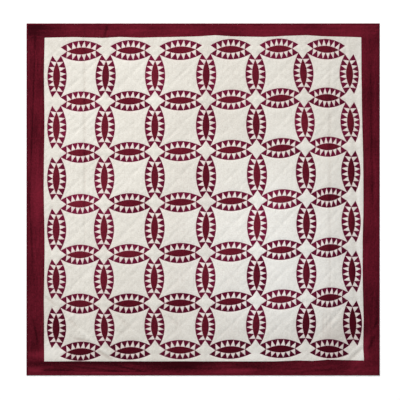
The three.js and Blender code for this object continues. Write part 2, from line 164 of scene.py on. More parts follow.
# Folds, creases and fullness, as ridges and troughs: where the middle of each lies, the angle that it runs at
# in degrees, half its length and half its width, how far it lifts the cloth, and how much lighter or darker
# the cloth is painted there: painted shade in troughs and creases and on slopes turned from the light,
# painted highlights on ridges and slopes turned to it, and painted light and shade over broad places.
Fold = namedtuple("Fold", "at angle reach width height tone")
FOLDS = (
    # Storage folds down the field
    Fold(-0.613 + 0.330j, 90, 0.560, 0.007, -0.0015, -0.30),
    Fold(0.025 + 0j, 90, 0.900, 0.045, 0.0014, 0),
    Fold(0.015 + 0.250j, 90, 0.650, 0.030, 0, -0.22),
    Fold(0.648 + 0j, 90, 0.900, 0.055, 0.0022, 0),
    Fold(0.657 + 0j, 90, 0.820, 0.007, -0.0012, -0.22),
    Fold(0.624 - 0.636j, 90, 0.070, 0.005, -0.0012, -0.30),
    Fold(0.641 - 0.632j, 91, 0.060, 0.005, -0.0010, -0.24),
    # Broad places painted lighter and darker, partly as painted light and shade
    Fold(-0.120 - 0.170j, 90, 0.350, 0.090, 0, -0.16),
    Fold(-0.638 - 0.150j, 90, 0.360, 0.100, 0, 0.13),
    Fold(0.398 - 0.250j, 90, 0.460, 0.090, 0, 0.12),
    Fold(0.647 + 0.650j, 0, 0.090, 0.090, 0, 0.22),
    Fold(-0.250 + 0.795j, 0, 0.580, 0.035, 0, -0.05),
    Fold(-0.770 - 0.790j, 0, 0.070, 0.050, 0, 0.65),
    Fold(0.274 - 0.812j, 0, 0.060, 0.025, 0, 0.35),
    # The field along the right seam and at the head's creases
    Fold(0.808 + 0.050j, 90, 0.720, 0.011, 0.0006, 0.42),
    Fold(0.783 - 0.080j, 90, 0.650, 0.012, -0.0006, -0.15),
    Fold(-0.500 + 0.805j, 85, 0.035, 0.010, -0.0007, -0.12),
    Fold(-0.262 + 0.808j, 70, 0.035, 0.010, -0.0007, -0.15),
    Fold(-0.780 + 0.790j, -60, 0.045, 0.011, -0.0008, -0.12),
    # Fullness at the right of the foot
    Fold(0.690 - 0.690j, 45, 0.110, 0.060, 0.0030, -0.32),
    Fold(0.745 - 0.740j, 45, 0.150, 0.045, 0, -0.22),
    Fold(0.672 - 0.652j, 50, 0.055, 0.008, 0.0011, 0),
    Fold(0.655 - 0.610j, 62, 0.060, 0.007, 0.0009, 0),
    Fold(0.780 - 0.786j, 42, 0.065, 0.008, 0.0015, 0.20),
    Fold(0.793 - 0.800j, 44, 0.048, 0.006, -0.0012, -0.20),
    Fold(0.824 - 0.824j, 45, 0.034, 0.022, 0.0030, 0.60),
    # Wrinkles across the patches and margins at the left of the foot
    Fold(-0.677 - 0.638j, -45, 0.045, 0.008, -0.0018, -0.30),
    Fold(-0.610 - 0.703j, -42, 0.050, 0.009, 0.0020, 0.25),
    Fold(-0.628 - 0.729j, -14, 0.044, 0.007, -0.0014, -0.50),
    Fold(-0.690 - 0.612j, 38, 0.036, 0.007, 0.0016, 0.20),
    Fold(-0.410 - 0.636j, -43, 0.045, 0.008, -0.0013, -0.26),
    Fold(-0.343 - 0.698j, -40, 0.040, 0.009, 0.0010, 0.12),
    Fold(-0.426 - 0.688j, -20, 0.030, 0.007, -0.0009, -0.22),
    Fold(-0.149 - 0.633j, -43, 0.045, 0.008, -0.0010, -0.18),
    Fold(-0.084 - 0.703j, -41, 0.035, 0.009, 0.0008, 0.10),
    Fold(-0.509 - 0.807j, -34, 0.044, 0.007, -0.0017, -0.60),
    Fold(-0.497 - 0.795j, -34, 0.040, 0.007, 0.0014, 0.25),
    Fold(-0.792 - 0.524j, -39, 0.034, 0.007, -0.0016, -0.50),
    # The head strip
    Fold(-0.502 + 0.875j, 77, 0.045, 0.006, -0.0012, -0.40),
    Fold(-0.880 + 0.890j, 45, 0.060, 0.050, 0, -0.55),
    # The foot strip
    Fold(-0.586 - 0.889j, -1, 0.300, 0.004, -0.0010, -0.45),
    Fold(-0.540 - 0.880j, -6, 0.170, 0.006, -0.0010, -0.30),
    Fold(-0.140 - 0.872j, 0, 0.110, 0.022, -0.0008, -0.35),
    Fold(0.580 - 0.890j, 5, 0.100, 0.005, -0.0008, -0.35),
    Fold(-0.868 - 0.885j, 0, 0.040, 0.012, 0.0006, 0.65),
    Fold(-0.420 - 0.902j, 0, 0.230, 0.007, 0.0006, 0.70),
    Fold(0.090 - 0.900j, 0, 0.140, 0.008, 0.0006, 0.35),
    Fold(0.190 - 0.884j, 0, 0.080, 0.010, 0.0006, 0.45),
    Fold(-0.330 - 0.846j, 0, 0.480, 0.009, -0.0004, -0.38),
    Fold(-0.379 - 0.877j, -12, 0.080, 0.005, -0.0008, -0.40),
    Fold(0.780 - 0.868j, 60, 0.045, 0.022, 0.0006, 0.30),
    # The left strip
    Fold(-0.883 + 0.427j, 88, 0.420, 0.004, -0.0010, -0.45),
    Fold(-0.894 - 0.107j, 93, 0.260, 0.004, -0.0008, -0.35),
    Fold(-0.860 + 0j, 90, 0.120, 0.025, 0.0006, 0.25),
    Fold(-0.868 - 0.805j, 0, 0.045, 0.018, 0.0006, 0.60),
    Fold(-0.867 - 0.688j, 102, 0.085, 0.006, -0.0008, -0.35),
    # The right strip
    Fold(0.872 + 0.354j, 91, 0.450, 0.005, -0.0008, -0.30),
    Fold(0.893 - 0.646j, 67, 0.036, 0.007, -0.0012, -0.40),
    Fold(0.872 - 0.745j, 63, 0.044, 0.007, -0.0012, -0.40),
    Fold(0.842 - 0.750j, 75, 0.060, 0.014, 0.0008, 0.30),
)

# The border strips are quilted along one line each, and gathered into streaks along their length.
BORDER_LINE = 0.031  # from the quilt's outer edge to the line of quilting
STREAK_LENGTH, STREAK_WIDTH, STREAK_HEIGHT = 0.42, 0.022, 0.0003
STREAK_SWAY = 2.5  # how far they sway from side to side, in radians of their wave

# The binding's section, from the quilt's outer edge inwards: how far in each point lies, and its height.
BINDING_SECTION = (
    (0.0011, 0.0),
    (0.0002, 0.0012),
    (0.0001, 0.0027),
    (0.0009, 0.0041),
    (0.0025, 0.0050),
    (0.0045, 0.0051),
    (0.0070, 0.0047),
    (BINDING_WIDTH, 0.0036),
    (BINDING_WIDTH, 0.0),
)
BINDING_UNEVEN, BINDING_WAVE = 0.0003, 0.07  # how far the binding swells and thins, and over what length

# Running stitches of the quilting.
STITCH_PITCH, STITCH_LENGTH, STITCH_WIDTH, STITCH_THICK = 0.0044, 0.0031, 0.0005, 0.0004
STITCH_UNEVEN = 0.15  # how far stitches differ in length and place, as a share
STITCH_LIFTS = (-0.4, 0.2, 1.0, -0.6)  # heights of a stitch's ends, sides, top and foot, in thicknesses

# Mesh sizes.
STEP = 0.0064  # between points of the field's face
BACK_STEP = 0.06  # between points of its flat underside
LINE_STEP = 0.002  # between samples of a line that distances are measured to
BORDER_STEP, BORDER_ROW = 0.0045, 0.0035  # along and across a border strip
BINDING_STEP = 0.012
CLEAR_OF_RIM = 0.55  # the least distance from an outline to the points inside it, in steps
SAME_POINT = 1e-6  # points as close as this are one
TOLERANCE, FILL_INSIDE = SAME_POINT / 10, 1  # of the triangulation, and its mode that fills an outline
SEED = 11
SEGMENT_ALIKE = 0.7  # how far the patches of one ring segment, cut from one length of cloth, share their tone

# Cloths of the field, in the order of its material slots, and the middle and size of the area of the map that
# each is baked in. The edge of the back's area is left to the walls, which stand on it.
PALE, RED, CRIMSON, BACK = range(4)
MAP_AREAS = (
    ((0.25, 0.55), (0.53, 0.95)),
    ((0.75, 0.55), (0.53, 0.95)),
    ((0.75, 0.55), (0.53, 0.95)),
    ((0.50, 0.05), (0.90, 0.085)),
)
MAP_WALL = 1.1  # the tops of the walls lie this many times as far out as their feet

# The grain of the cotton: the size of its features along X, Y and Z, how fine their detail is, and how
# strongly they show in the shade, the relief and the roughness.
Grain = namedtuple("Grain", "sizes detail shade relief rough")
GRAINS = (
    Grain((0.0008, 0.006, 1), 2.0, 0.20, 0.7, 0.10),  # thick places in the warp
    Grain((0.006, 0.0008, 1), 2.0, 0.20, 0.7, 0.0),  # and in the weft
    # The crinkles' relief is real; their shade is their small shadows, painted
    Grain((0.0065, 0.0065, 1), 1.0, 1.0, 0.8, 0.0),  # crinkles
    Grain((0.018, 0.018, 1), 3.0, 0.35, 1.4, 0.15),  # mottled dye
)
CLOUDS, CLOUD_DETAIL = (0.22, 0.22, 1), 3.0  # broad unevenness in the dye
# Streaks painted lighter and darker along the border strips
COLOUR_STREAKS_ACROSS, COLOUR_STREAKS_DOWN = (0.14, 0.016, 1), (0.016, 0.14, 1)  # along the border strips
COLOUR_STREAK_DETAIL, COLOUR_STREAK_TWIST, COLOUR_STREAK_SHADE = 2.0, 0.8, 0.7
DITCH_WIDTH = 0.0022  # of the fine fold where a red patch is sewn in
BLEED_REACH, BLEED_SHARE = 0.0036, 0.5  # how far red dye has run into pale cloth, and its share at the seam
RED_LIT_PLACE, RED_LIT_REACH = (-0.20, 0.35, 0.0), 0.70  # where the red is painted lightest, and beyond what reach painted shade darkens it
MID = 0.5  # the middle of a noise, of a tone and of a run of colours
ROUGHNESS, SPECULAR, SHEEN, SHEEN_ROUGHNESS = 0.88, 0.03, 0.02, 0.6
BUMP_DEPTH, BUMP_STRENGTH = 0.0005, 0.6

# Each cloth's colours, from dark to light.
PALE_COLOURS = ((0.62, 0.570, 0.515), (0.74, 0.714, 0.652), (0.85, 0.83, 0.775))
RED_COLOURS = ((0.060, 0.0022, 0.0080), (0.127, 0.0085, 0.0195), (0.203, 0.0175, 0.0340))
CRIMSON_COLOURS = ((0.064, 0.0020, 0.0125), (0.134, 0.0066, 0.0300), (0.212, 0.0135, 0.0505))
BORDER_COLOURS = ((0.034, 0.0012, 0.0042), (0.097, 0.0056, 0.0136), (0.165, 0.0110, 0.0250))
BACK_COLOURS = ((0.60, 0.58, 0.50), (0.70, 0.68, 0.60), (0.78, 0.76, 0.68))
BLEED_COLOUR = (0.76, 0.41, 0.49)

# How light the border strips are painted, partly for wear and partly as painted light and shade, the head
# strip
# lighter and the foot strip darker: evenly spaced tones from left to right or from head to foot, the change
# from the outer edge inwards, which on the foot strip is painted shade under the field's edge, and the
# binding's tone.
STRIP_SHADE_AND_WEAR = {
    "top": dict(tones=(0.38, 0.65, 0.62, 0.80, 0.68), inwards=0.0, binding=0.55),
    "bottom": dict(tones=(0.42, 0.42, 0.30, 0.46, 0.57), inwards=-0.45, binding=0.60),
    "left": dict(tones=(0.38, 0.50, 0.66, 0.46, 0.46), inwards=0.10, binding=0.42),
    "right": dict(tones=(0.58, 0.56, 0.58, 0.48, 0.50), inwards=0.10, binding=0.45),
}

# The floor, the lights and the camera.
WHITE = (1, 1, 1, 1)
FLOOR_SIZE, FLOOR_DROP = 24.0, 0.0002  # the drop keeps the floor clear of the quilt
FLOOR_GRAIN, FLOOR_DETAIL, FLOOR_COLOURS = (0.4, 0.4, 1), 2.0, ((0.95, 0.95, 0.95), (0.98, 0.98, 0.98))
FLOOR_ROUGHNESS, FLOOR_GLOW = 0.95, 0.30
SUN = dict(name="key", place=(-0.48, 0.87, 0.7), aim=(0, 0, 0), energy=3.1, color=(1.0, 0.985, 0.99),
           angle=math.radians(20))
POOLS = (
    dict(name="warm_pool", place=(-0.80, 1.12, 4.0), aim=(-0.50, 0.62, 0.0), energy=268,
         color=(1.0, 1.0, 0.955), spot_size=math.radians(57), shadow_soft_size=0.6),
    dict(name="cool_pool", place=(0.37, -0.32, 4.0), aim=(0.37, -0.32, 0.0), energy=95,
         color=(0.80, 0.97, 1.25), spot_size=math.radians(19), shadow_soft_size=0.3),
)
STUDIO_LIGHT = 0.15
LENS, SENSOR = 200, 36  # in millimetres
FRAME_WIDTH = 2.0722  # of the view, at the quilt
VIEW_MIDDLE = (-0.0158, -0.0033)

# The sides of the quilt: which way each looks, which way it runs, and the crossing that it starts beside.
Side = namedtuple("Side", "outward ahead column row")
SIDES = {
    "top": Side(NORTH, EAST, 0, 0),
    "bottom": Side(SOUTH, EAST, 0, LAST),
    "left": Side(WEST, SOUTH, 0, 0),
    "right": Side(EAST, SOUTH, LAST, 0),
}
Patch = namedtuple("Patch", "outline cloth")
RingHalf = namedtuple("RingHalf", "patches feet arc")
Nearest = namedtuple("Nearest", "distance along weight")
rng = np.random.default_rng(SEED)


# Lines of the plan

def bow(rise, share):
    """The height of a shallow bow at a share of its length: nothing at both ends, its full rise halfway."""
    return 4 * rise * share * (1 - share)


def line(start, end, rise=0.0, span=(0.0, 1.0)):
    """Points a step apart on a span of the edge from start to end. A positive rise bows it to the left."""
    chord = end - start
    count = max(1, round(abs(chord) * (span[1] - span[0]) / STEP))
    shares = np.linspace(*span, count + 1)
    return start + chord * shares + 1j * chord / abs(chord) * bow(rise, shares)


def chain(*edges):
    """One line of edges that follow each other."""
    return np.concatenate([edge[:-1] for edge in edges] + [edges[-1][-1:]])


def outline(*edges):
    """A closed outline of edges that follow each other, without its first point again at the end."""
    return chain(*edges)[:-1]


def towards(start, end, distance):
    return start + (end - start) / abs(end - start) * distance


def resampled(points, step):
    """The points a step apart on a line, and how far along it each lies."""
    lengths = np.concatenate([[0.0], np.cumsum(abs(np.diff(points)))])
    along = np.linspace(0.0, lengths[-1], max(1, round(lengths[-1] / step)) + 1)
    return np.interp(along, lengths, points.real) + 1j * np.interp(along, lengths, points.imag), along


class Lines:
    """Lines of the plan. For a point it finds the nearest one's distance, weight and place along it."""

    def __init__(self, lines, weights=()):
        sampled = [resampled(points, LINE_STEP) for points in lines]
        samples = np.concatenate([points for points, _ in sampled])
        self.along = np.concatenate([along for _, along in sampled])
        self.weight = np.repeat(weights or [1.0] * len(lines), [len(points) for points, _ in sampled])
        self.tree = KDTree(len(samples))
        for number, point in enumerate(samples):
            self.tree.insert((point.real, point.imag, 0.0), number)
        self.tree.balance()

    def nearest(self, points):
        found = [self.tree.find((point.real, point.imag, 0.0)) for point in points]
        numbers = [number for _, number, _ in found]
        distances = np.array([distance for _, _, distance in found])
        return Nearest(distances, self.along[numbers], self.weight[numbers])


# The ring pattern

def leaned(lean, share):
    """Where a column or row lies at a share of its length."""
    return np.interp(share, (0, 1), (lean.start, lean.end)) + bow(lean.bow, share)


def crossing(column, row):
    """The place where a column and a row of the ring pattern cross."""
    x, y = leaned(COLUMNS[column], row / LAST), leaned(ROWS[row], column / LAST)
    return complex(x, y) + STRAYS.get((column, row), 0)


def looks_out(column, row, way):
    """Whether a crossing has no other beside it one way, because the border is there."""
    return column + int(way.real) not in range(LAST + 1) or row - int(way.imag) not in range(LAST + 1)


def arc_rise(column, row, way):
    """The rise of the wedge arc that looks one way from a segment at a crossing."""
    return EDGE_RISE[way] if looks_out(column, row, way) else ARC_RISE


def ring_half(column, row, ahead, side):
    """One side of the ring segment from a crossing to the next: its wedges, lens edge and outer arc."""
    here = crossing(column, row)
    there = crossing(column + int(ahead.real), row - int(ahead.imag))
    out = 1j * ahead * side
    points = here + ahead * DIAMOND_REACH, there - ahead * DIAMOND_REACH
    lens_tips = points[0] + ahead * LENS_GAP, points[1] - ahead * LENS_GAP
    corners = here + (ahead + out) * ARC_CORNER, there + (out - ahead) * ARC_CORNER
    chord = abs(corners[1] - corners[0])
    first_end, last_end = (WEDGE_END + lean - ARC_CORNER for lean in (side * WEDGE_LEAN, -side * WEDGE_LEAN))
    meets = np.linspace(first_end, chord - last_end, LENS_WEDGES) / chord
    rise = side * arc_rise(column, row, out)
    bases = [line(*corners, rise, span) for span in zip([0.0, *meets], [*meets, 1.0])]

    stands = np.linspace(0, 1, LENS_WEDGES + 1)
    half_tip = TIP_WIDTH / 2 / abs(lens_tips[1] - lens_tips[0])
    cuts = [0.0, *np.stack([stands[:-1] + half_tip, stands[1:] - half_tip], axis=1).ravel(), 1.0]
    feet = [line(*lens_tips, side * LENS_RISE, span) for span in zip(cuts, cuts[1:])]
    tips, grounds = feet[::2], feet[1::2]
    peaks = [towards(base[-1], (foot[0] + foot[-1]) / 2, PEAK_GAP) for base, foot in zip(bases, grounds)]

    joins = [line(base[-1], peak) for base, peak in zip(bases, peaks)]
    falls = [line(peak, foot[0]) for peak, foot in zip(peaks, grounds)]
    rises = [line(peak, foot[-1])[::-1] for peak, foot in zip(peaks, grounds)]
    befores = [line(points[0], lens_tips[0])[::-1], line(points[0], corners[0])]
    afters = [line(points[1], corners[1])[::-1], line(points[1], lens_tips[1])]
    patches = [Patch(outline(*edges), PALE) for edges in zip(grounds, rises, falls)]
    patches.append(Patch(outline(bases[0], joins[0], falls[0], tips[0][::-1], *befores), CRIMSON))
    for k in range(1, LENS_WEDGES):
        edges = bases[k], joins[k], falls[k], tips[k][::-1], rises[k - 1], joins[k - 1][::-1]
        patches.append(Patch(outline(*edges), CRIMSON))
    patches.append(Patch(outline(bases[-1], *afters, tips[-1][::-1], rises[-1], joins[-1][::-1]), CRIMSON))
    return RingHalf(patches, chain(*feet), chain(*bases))


def segments():
    """Every ring segment's first crossing and direction."""
    for row in range(LAST + 1):
        for column in range(LAST):
            yield column, row, EAST
    for row in range(LAST):
        for column in range(LAST + 1):
            yield column, row, SOUTH


def diamond_point(column, row, way):
    """The point of a crossing's square patch that looks one way, cut short where it looks at the border."""
    return crossing(column, row) + way * (EDGE_REACH if looks_out(column, row, way) else DIAMOND_REACH)


def diamond(column, row):
    """The pale square patch on a crossing."""
    edges = []
    for way in (EAST, NORTH, WEST, SOUTH):
        point, next_point = diamond_point(column, row, way), diamond_point(column, row, 1j * way)
        corner = crossing(column, row) + (way + 1j * way) * ARC_CORNER
        edges += [line(point, corner), line(next_point, corner)[::-1]]
    return Patch(outline(*edges), PALE)


def large_patch_sides(column, row):
    """The four hollow sides of the patch between the rings, in order round it."""
    return (
        ring_half(column, row, EAST, -1).arc,
        ring_half(column + 1, row, SOUTH, -1).arc,
        ring_half(column, row + 1, EAST, 1).arc[::-1],
        ring_half(column, row, SOUTH, 1).arc[::-1],
    )


def large_patch(column, row):
    """A patch between the rings: the four puffs that its quilted cross leaves, and the arms of the cross."""
    sides = large_patch_sides(column, row)
    middle = sum(side[0] for side in sides) / len(sides)
    arms = [line(side[0], middle) for side in sides]
    puffs = [
        Patch(outline(side, arms[(k + 1) % len(arms)], arms[k][::-1]), PALE)
        for k, side in enumerate(sides)
    ]
    return puffs, arms


# The field's edges

def seam_span(side):
    """Where a seam starts and ends along the axis that it follows, which is where it meets its neighbours."""
    end = "start" if side in ("top", "left") else "end"
    met = ("left", "right") if SIDES[side].ahead == EAST else ("top", "bottom")
    return tuple(SEAMS[neighbour][end] for neighbour in met)


def seam_offset(side, places):
    """A seam's offset from the quilt's middle at places along it. Beyond its ends it runs on straight."""
    seam = SEAMS[side]
    start, end = seam_span(side)
    known = np.array([start, *seam["places"], end])
    offsets = np.array([seam["start"], *seam["offsets"], seam["end"]])
    order = np.argsort(known)
    return np.interp(places, known[order], offsets[order])


def beside(side, places, offsets):
    """Points of the plan at places along a side and offsets from the quilt's middle."""
    return places + 1j * offsets if SIDES[side].ahead == EAST else offsets + 1j * places


def evenly(start, end, step):
    return np.linspace(start, end, max(1, round(abs(end - start) / step)) + 1)


def seam_line(side):
    places = evenly(*seam_span(side), STEP)
    return beside(side, places, seam_offset(side, places))


def ground(side):
    """The pale ground between the rings and the border along one side."""
    outward, ahead, column, row = SIDES[side]
    on_left = 1 if outward == 1j * ahead else -1
    edges = []
    for k in range(LAST + 1):
        place = column + k * int(ahead.real), row - k * int(ahead.imag)
        point = diamond_point(*place, outward)
        before, after = (crossing(*place) + (outward + way * ahead) * ARC_CORNER for way in (-1, 1))
        edges += [line(point, before)[::-1], line(point, after)]
        if k < LAST:
            edges.append(ring_half(*place, ahead, on_left).arc)
    rim = seam_line(side)
    rings = chain(*edges)
    return Patch(outline(rings, line(rings[-1], rim[-1]), rim[::-1], line(rim[0], rings[0])), PALE)


# The relief of the face

def plane_waves():
    """Seeded waves for the quilt's unevenness: a direction and frequency, a phase and a height each."""
    waves = []
    for length, height, crest, spread in CRUMPLES:
        turns = np.radians(crest + 90 + spread * rng.uniform(-1, 1, CRUMPLE_WAVES))
        lengths = length * (1 + CRUMPLE_SPREAD * rng.uniform(-1, 1, CRUMPLE_WAVES))
        phases = rng.uniform(0, math.tau, CRUMPLE_WAVES)
        heights = [height * math.sqrt(2 / CRUMPLE_WAVES)] * CRUMPLE_WAVES
        waves += zip(math.tau / lengths * np.exp(1j * turns), phases, heights)
    return waves


WAVES = plane_waves()


def folded(points, effect):
    """The sum of the folds' heights, or of their tones, at points of the plan."""
    total = np.zeros(points.shape)
    for fold in FOLDS:
        away = (points - fold.at) * np.exp(-1j * math.radians(fold.angle))
        shape = (away.imag / fold.width) ** 2 + (away.real / fold.reach) ** 4
        total += getattr(fold, effect) * np.exp(-shape)
    return total


def lie(points):
    """How far folds and unevenness lift the face."""
    lift = folded(points, "height")
    for frequency, phase, height in WAVES:
        lift += height * np.sin(points.real * frequency.real + points.imag * frequency.imag + phase)
    return lift


def left_by(weight, distance, soft=PUFF_SOFT):
    """The share of the puff that a line of quilting leaves at a distance from it."""
    return 1 - weight * np.exp(-distance / soft)


def puffed(points, left, to_seam, to_quilting, along):
    """The face's height, from what is left of the puff, the nearest seam and the puckers on a line."""
    gathers = np.sin(math.tau * along / PUCKER_LENGTH)
    puckers = PUCKER_HEIGHT * gathers * np.exp(-to_quilting / PUCKER_REACH)
    seam = SEAM_RISE * (1 - np.exp(-to_seam / SEAM_SOFT))
    return np.maximum(THINNEST, STITCHED + seam + (PUFF_RISE + puckers) * left + lie(points))


# Meshes

def inside(points, rim):
    """Which points lie inside a closed outline."""
    start, end = rim, np.roll(rim, -1)
    level = points.imag[:, None]
    spans = (start.imag > level) != (end.imag > level)
    rise = np.where(end.imag == start.imag, 1.0, end.imag - start.imag)
    reached = start.real + (end.real - start.real) * (level - start.imag) / rise
    return (spans & (points.real[:, None] < reached)).sum(axis=1) % 2 == 1


def lattice(rim, step):
    """Points of an even three-way lattice that lie inside an outline and clear of it."""
    pitch = complex(step, step * math.sqrt(3) / 2)
    rows = np.arange(rim.imag.min() // pitch.imag, rim.imag.max() // pitch.imag + 1)
    columns = np.arange(rim.real.min() // pitch.real - 1, rim.real.max() // pitch.real + 1)
    across = (columns[None, :] + (rows[:, None] % 2) / 2) * pitch.real
    points = (across + 1j * rows[:, None] * pitch.imag).ravel()
    points = points[inside(points, rim)]
    clear = abs(points[:, None] - rim[None, :]).min(axis=1, initial=np.inf) > CLEAR_OF_RIM * step
    return points[clear]


def filled(rim, step):
    """The points and triangles of a flat sheet inside an outline."""
    points = np.concatenate([rim, lattice(rim, step)])
    flat = [Vector((point.real, point.imag)) for point in points]
    result = delaunay_2d_cdt(flat, [], [list(range(len(rim)))], FILL_INSIDE, TOLERANCE)
    triangles, sources = result[2:4]
    numbers = np.array([source[0] for source in sources])
    return points, numbers[np.array(triangles)]


def welded(points):
    """The distinct points, and the number among them of each point."""
    grid = np.round(np.stack([points.real, points.imag], axis=1) / SAME_POINT).astype(np.int64)
    _, first, numbers = np.unique(grid, axis=0, return_index=True, return_inverse=True)
    return points[first], numbers.ravel()


def rim_edges(triangles):
    """The edges that only one triangle uses, in the direction in which it runs along them."""
    edges = np.concatenate([triangles[:, [0, 1]], triangles[:, [1, 2]], triangles[:, [2, 0]]])
    _, first, uses = np.unique(np.sort(edges, axis=1), axis=0, return_index=True, return_counts=True)
    return edges[first[uses == 1]]


def in_space(points, heights):
    """Rows of x, y and z. One height can serve all the points."""
    return np.stack([points.real, points.imag, np.broadcast_to(heights, points.shape)], axis=-1)


def plan_of(points):
    return points[..., 0] + 1j * points[..., 1]


def rim_loop(edges):
    """The points along a closed rim, in order."""
    follow = dict(edges.tolist())
    loop = [edges[0, 0]]
    while follow[loop[-1]] != loop[0]:
        loop.append(follow[loop[-1]])
    return loop


def closed_below(points, face):
    """The points and faces of a sheet with its walls and its flat underside."""
    rim = rim_edges(face)
    loop = rim_loop(rim)
    back_points, back = filled(plan_of(points[loop]), BACK_STEP)
    below = {number: len(points) + k for k, number in enumerate(loop)}
    walls = [tri for a, b in rim.tolist() for tri in ((b, a, below[a]), (b, below[a], below[b]))]
    faces = np.concatenate([face, np.array(walls), back[:, ::-1] + len(points)])
    return np.concatenate([points, in_space(back_points, 0.0)]), faces


def placed(name, data):
    """A new object in the scene."""
    made = bpy.data.objects.new(name, data)
    bpy.context.scene.collection.objects.link(made)
    return made


def shade(mesh, smooth):
    """Shades each face smooth or flat. Sharp edges round the flat ones keep their shading off the others."""
    mesh.polygons.foreach_set("use_smooth", smooth)
    for face in np.flatnonzero(~smooth):
        for corner in mesh.polygons[face].loop_indices:
            mesh.edges[mesh.loops[corner].edge_index].use_edge_sharp = True


def make_piece(name, points, faces, smooth, materials):
    """A mesh object of the quilt, from rows of x, y and z, faces, and which of these are smooth."""
    mesh = bpy.data.meshes.new(name)
    mesh.from_pydata(points.tolist(), [], [list(face) for face in faces])
    for material in materials:
        mesh.materials.append(material)
    shade(mesh, smooth)
    return placed(name, mesh)


def set_values(mesh, name, domain, values):
    layer = mesh.attributes.new(name, "FLOAT", domain)
    layer.data.foreach_set("value", np.asarray(values, dtype=np.float32))


def set_map(mesh, places):
    """Gives a mesh the map that its finish is baked through: a place in the unit square for each corner."""
    mesh.uv_layers.new(name="OFBake").uv.foreach_set("vector", places.astype(np.float32).ravel())


def pieced_rings():
    """The patches of the rings and of their crossings, how light each is, and the arcs of their quilting."""
    patches, tones, arcs = [], [], []
    for column, row, ahead in segments():
        left, right = (ring_half(column, row, ahead, side) for side in (1, -1))
        lens = Patch(outline(left.feet, right.feet[::-1]), RED)
        segment = [*left.patches, *right.patches, lens]
        own = rng.uniform(0, 1, len(segment))
        patches += segment
        tones += list(own + (rng.uniform(0, 1) - own) * SEGMENT_ALIKE)
        arcs += [left.arc, right.arc]
    diamonds = [diamond(column, row) for row in range(LAST + 1) for column in range(LAST + 1)]
    return patches + diamonds, [*tones, *rng.uniform(0, 1, len(diamonds))], arcs


def large_patches():
    """The puffs of all the large patches, their lines of quilting, and how far each line draws them down."""
    puffs, arms, drawn = [], [], []
    for row in range(LAST):
        for column in range(LAST):
            patch_puffs, patch_arms = large_patch(column, row)
            puffs += patch_puffs
            arms += patch_arms
            drawn += [rng.uniform(*ARM_DRAWN)] * len(patch_arms)
    return puffs, arms, drawn


def quilted_field(materials):
    """The pieced field as one closed sheet, and the lines of its visible quilting with their heights."""
    pieced, tones, arcs = pieced_rings()
    puffs, arms, drawn = large_patches()
    grounds = [ground(side) for side in SIDES]
    patches = pieced + grounds + puffs
    reds = [patch.outline for patch in pieced if patch.cloth != PALE]
    seams = Lines([np.append(rim, rim[0]) for rim in reds])
    arc_lines, arm_lines = Lines(arcs), Lines(arms, drawn)
    rim_lines = Lines([seam_line(side) for side in SIDES])

    def height(points):
        to_seam = seams.nearest(points).distance
        arc, rim, arm = (lines.nearest(points) for lines in (arc_lines, rim_lines, arm_lines))
        left = left_by(ARC_DRAWN, arc.distance) * left_by(RIM_DRAWN, rim.distance)
        left = left * left_by(arm.weight, arm.distance, ARM_SOFT)
        return puffed(points, left, to_seam, arc.distance, arc.along), to_seam

    sheets = [filled(patch.outline, STEP) for patch in patches]
    starts = np.cumsum([0] + [len(points) for points, _ in sheets[:-1]])
    points, numbers = welded(np.concatenate([points for points, _ in sheets]))
    face = numbers[np.concatenate([triangles + start for (_, triangles), start in zip(sheets, starts)])]
    counts = [len(triangles) for _, triangles in sheets]
    puff_tones = np.repeat(rng.uniform(0, 1, LAST * LAST), len(puffs) // LAST**2)
    tones = np.repeat([*tones, *[MID] * len(grounds), *puff_tones], counts)
    cloths = np.repeat([patch.cloth for patch in patches], counts)
    heights, to_seam = height(points)

    all_points, faces = closed_below(in_space(points, heights), face)
    on_face = np.arange(len(faces)) < len(face)
    plain = len(faces) - len(face)
    cloths = np.append(cloths, [BACK] * plain)
    piece = make_piece("quilted_field", all_points, faces, on_face, materials)
    piece.data.polygons.foreach_set("material_index", cloths.astype(np.int32))
    set_values(piece.data, "tone", "FACE", np.append(tones, [MID] * plain))
    set_values(piece.data, "to_seam", "POINT", np.append(to_seam, [0.0] * (len(all_points) - len(points))))
    # Painted shade in creases, painted highlights on ridges, and broad places painted lighter and darker,
    # from the folds' tones
    set_values(piece.data, "painted_shade_and_tone", "POINT", folded(plan_of(all_points), "tone"))
    set_map(piece.data, field_map(all_points, faces, cloths))
    sewn = [resampled(arm, STITCH_PITCH)[0] for arm in arms]
    return piece, [(arm, height(arm)[0]) for arm in sewn]


def field_map(points, faces, cloths):
    """Places on the map for the field's corners. Pale, red and back lie apart, and no colour runs over."""
    corners, cloth = faces.ravel(), np.repeat(cloths, faces.shape[1])
    shares = points[corners, :2] / (2 * HALF_WIDTH, 2 * HALF_LENGTH)
    above = points[corners, 2] > 0
    shares[(cloth == BACK) & above] *= MAP_WALL
    middles, sizes = np.array(MAP_AREAS)[cloth].swapaxes(0, 1)
    return middles + shares * sizes


# Lofted pieces

def lofted(sections):
    """The points and faces of a body through rings of equal numbers of points, with both ends closed."""
    count, ring = sections.shape[:2]
    numbers = np.arange(count * ring).reshape(count, ring)
    here, ahead = numbers[:-1], numbers[1:]
    sides = np.stack([here, np.roll(here, -1, 1), np.roll(ahead, -1, 1), ahead], axis=2).reshape(-1, 4)
    faces = sides.tolist() + [numbers[0, ::-1].tolist(), numbers[-1].tolist()]
    return sections.reshape(-1, 3), faces


def looks_inwards(points, faces):
    """Whether a closed body's faces look inwards, from the sign of its volume."""
    volume = 0.0
    for face in faces:
        a, b, c = points[face[0]], points[face[1:-1]], points[face[2:]]
        volume += (a * np.cross(b, c)).sum()
    return volume < 0


